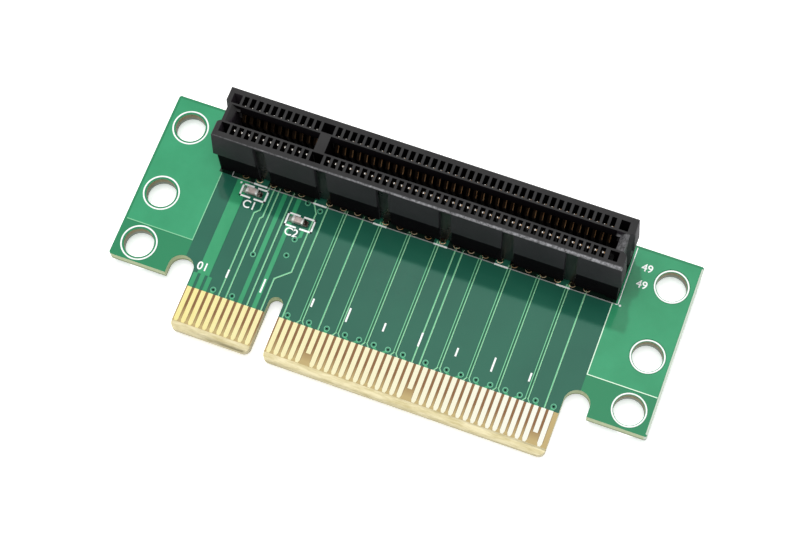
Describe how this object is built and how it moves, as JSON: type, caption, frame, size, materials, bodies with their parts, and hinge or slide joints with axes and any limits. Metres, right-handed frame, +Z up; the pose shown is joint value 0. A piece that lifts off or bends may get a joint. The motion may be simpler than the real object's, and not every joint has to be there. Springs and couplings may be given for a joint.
{
  "type": "pcie riser card",
  "caption": "Flat riser card: a board with gold edge fingers along its front, a card slot standing on its face and ringed mounting holes in two side wings.",
  "frame": {"origin": "middle of the card's outline, at the lowest solder tips", "axes": "+X along the slot from contact 1 to contact 49, +Y from the card edge to the back edge, +Z up out of the slot"},
  "size_m": [0.0746, 0.0314, 0.0141],
  "materials": {
    "board": "satin green mask on glass epoxy",
    "masked_copper": "copper under green mask",
    "gold": "gold plated",
    "slot_plastic": "moulded black",
    "contact_metal": "bronze spring strip",
    "solder": "tin",
    "ceramic": "sintered ceramic",
    "ink": "white printed ink"
  },
  "bodies": {
    "root": {"circuit_board": "board", "edge_fingers_front": "gold", "edge_fingers_back": "gold", "slot_housing": "slot_plastic", "slot_contacts_front_outer": "contact_metal", "slot_contacts_front_inner": "contact_metal", "slot_contacts_back_outer": "contact_metal", "slot_contacts_back_inner": "contact_metal", "solder_front_outer": "solder", "solder_front_inner": "solder", "solder_back_outer": "solder", "solder_back_inner": "solder", "capacitor_near_body": "ceramic", "capacitor_near_ends": "solder", "capacitor_near_solder": "solder", "capacitor_far_body": "ceramic", "capacitor_far_ends": "solder", "capacitor_far_solder": "solder", "copper_pour_left": "masked_copper", "copper_pour_right": "masked_copper", "supply_strips": "masked_copper", "signal_traces_front": "masked_copper"}
  },
  "joints": []
}
